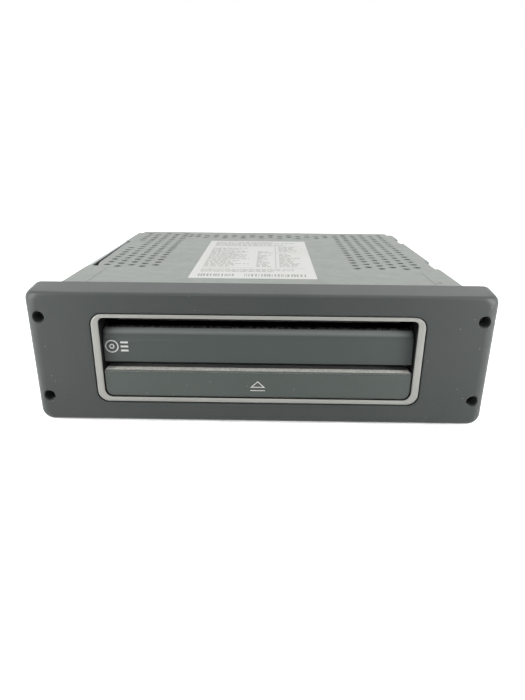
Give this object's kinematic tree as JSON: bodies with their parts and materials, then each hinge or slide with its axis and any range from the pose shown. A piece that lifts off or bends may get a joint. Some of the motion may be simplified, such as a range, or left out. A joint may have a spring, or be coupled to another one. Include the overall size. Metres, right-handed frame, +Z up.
{
  "type": "slot-loading car CD radio",
  "caption": "Slot-loading car CD player and radio: dark moulded fascia with silver trim ring and eject bar, perforated steel case, working disc transport inside.",
  "frame": {"origin": "bottom centre of the bounding box, level with the lowest edge of the fascia", "axes": "+X to the right across the fascia, +Y from the fascia back along the case, +Z up"},
  "size_m": [0.2012, 0.1822, 0.0613],
  "materials": {
    "charcoal_abs": "fine matte grain",
    "black_plastic": "matte",
    "satin_silver": "satin plated",
    "zinc_steel": "zinc coated, dull",
    "bright_steel": "bright",
    "rubber": "matte",
    "felt": "short pile",
    "circuit_board": "solder mask",
    "acetal": "smooth",
    "aluminium": "extruded",
    "lens": "clear, coated"
  },
  "bodies": {
    "chassis": {"front_fascia": "charcoal_abs", "trim_ring": "satin_silver", "slot_panel": "black_plastic", "slot_felt": "felt", "switch_board": "circuit_board", "tact_switch_left": "black_plastic", "tact_switch_right": "black_plastic", "chassis_tray": "zinc_steel", "top_cover": "zinc_steel", "main_board": "circuit_board", "main_connector": "black_plastic", "antenna_socket": "bright_steel", "heat_sink": "aluminium", "rear_stud": "bright_steel", "power_amplifier": "black_plastic", "filter_capacitor_1": "black_plastic", "filter_capacitor_2": "black_plastic", "filter_capacitor_3": "black_plastic", "tuner_module": "bright_steel", "control_chip": "black_plastic", "deck_bracket_left": "zinc_steel", "deck_bracket_right": "zinc_steel", "damper_1": "rubber", "damper_2": "rubber", "damper_3": "rubber", "damper_4": "rubber", "mech_deck": "zinc_steel", "disc_guide": "black_plastic", "roller_bearing_left": "acetal", "roller_bearing_right": "acetal", "idler_pin": "bright_steel", "loading_motor": "bright_steel", "spindle_motor": "bright_steel", "clamp_bracket": "zinc_steel", "clamp_pin": "bright_steel", "clamp_spring": "bright_steel", "guide_rod_left": "bright_steel", "guide_rod_right": "bright_steel", "rod_holder_front": "black_plastic", "rod_holder_rear": "black_plastic", "sled_motor": "bright_steel"},
    "eject_button": {"eject_button": "charcoal_abs"},
    "switch_plunger_left": {"switch_plunger_left": "acetal"},
    "switch_plunger_right": {"switch_plunger_right": "acetal"},
    "roller": {"roller_shaft": "bright_steel", "loading_roller_left": "rubber", "loading_roller_right": "rubber", "roller_gear": "acetal"},
    "idler": {"idler_gear": "acetal"},
    "pinion": {"motor_pinion": "acetal"},
    "turntable": {"turntable": "black_plastic"},
    "clamp_arm": {"clamp_arm": "zinc_steel"},
    "clamp_puck": {"clamp_puck": "black_plastic"},
    "sled": {"pickup_sled": "black_plastic"},
    "lens": {"lens_holder": "lens"},
    "lead_screw": {"lead_screw": "bright_steel"}
  },
  "joints": [
    {"name": "eject_press", "type": "slide", "parent": "chassis", "child": "eject_button", "axis": [0, 1, 0], "range_m": [0, 0.0012], "stiffness_N_per_m": 600, "springref_m": -0.001},
    {"name": "plunger_left_press", "type": "slide", "parent": "chassis", "child": "switch_plunger_left", "axis": [0, 1, 0], "range_m": [0, 0.0012]},
    {"name": "plunger_right_press", "type": "slide", "parent": "chassis", "child": "switch_plunger_right", "axis": [0, 1, 0], "range_m": [0, 0.0012]},
    {"name": "roller_turn", "type": "hinge", "parent": "chassis", "child": "roller", "pos_m": [0, -0.0694, 0.0422], "axis": [1, 0, 0], "continuous": true},
    {"name": "idler_turn", "type": "hinge", "parent": "chassis", "child": "idler", "pos_m": [-0.0689, -0.05613, 0.03291], "axis": [1, 0, 0], "continuous": true},
    {"name": "pinion_turn", "type": "hinge", "parent": "chassis", "child": "pinion", "pos_m": [-0.0689, -0.04293, 0.02887], "axis": [1, 0, 0], "continuous": true},
    {"name": "turntable_spin", "type": "hinge", "parent": "chassis", "child": "turntable", "pos_m": [0, -0.0044, 0.0451], "axis": [0, 0, 1], "continuous": true},
    {"name": "clamp_swing", "type": "hinge", "parent": "chassis", "child": "clamp_arm", "pos_m": [0, 0.0616, 0.0569], "axis": [1, 0, 0], "range_deg": [0, 2.2], "stiffness_Nm_per_rad": 0.04, "springref_deg": -34.38},
    {"name": "puck_spin", "type": "hinge", "parent": "clamp_arm", "child": "clamp_puck", "pos_m": [0, -0.0044, 0.0543], "axis": [0, 0, 1], "continuous": true},
    {"name": "sled_feed", "type": "slide", "parent": "chassis", "child": "sled", "axis": [0, 1, 0], "range_m": [0, 0.033]},
    {"name": "lens_focus", "type": "slide", "parent": "sled", "child": "lens", "axis": [0, 0, 1], "range_m": [-0.0004, 0.0004], "stiffness_N_per_m": 60},
    {"name": "screw_turn", "type": "hinge", "parent": "chassis", "child": "lead_screw", "pos_m": [0.026, 0.0092, 0.0325], "axis": [0, 1, 0], "range_deg": [0, 3970]}
  ],
  "couplings": [
    {"joint": "plunger_left_press", "follows": "eject_press", "ratio": 1},
    {"joint": "plunger_right_press", "follows": "eject_press", "ratio": 1},
    {"joint": "idler_turn", "follows": "roller_turn", "ratio": -0.66667},
    {"joint": "pinion_turn", "follows": "roller_turn", "ratio": 1.6},
    {"joint": "screw_turn", "follows": "sled_feed", "rad_per_m": 2094.4}
  ]
}
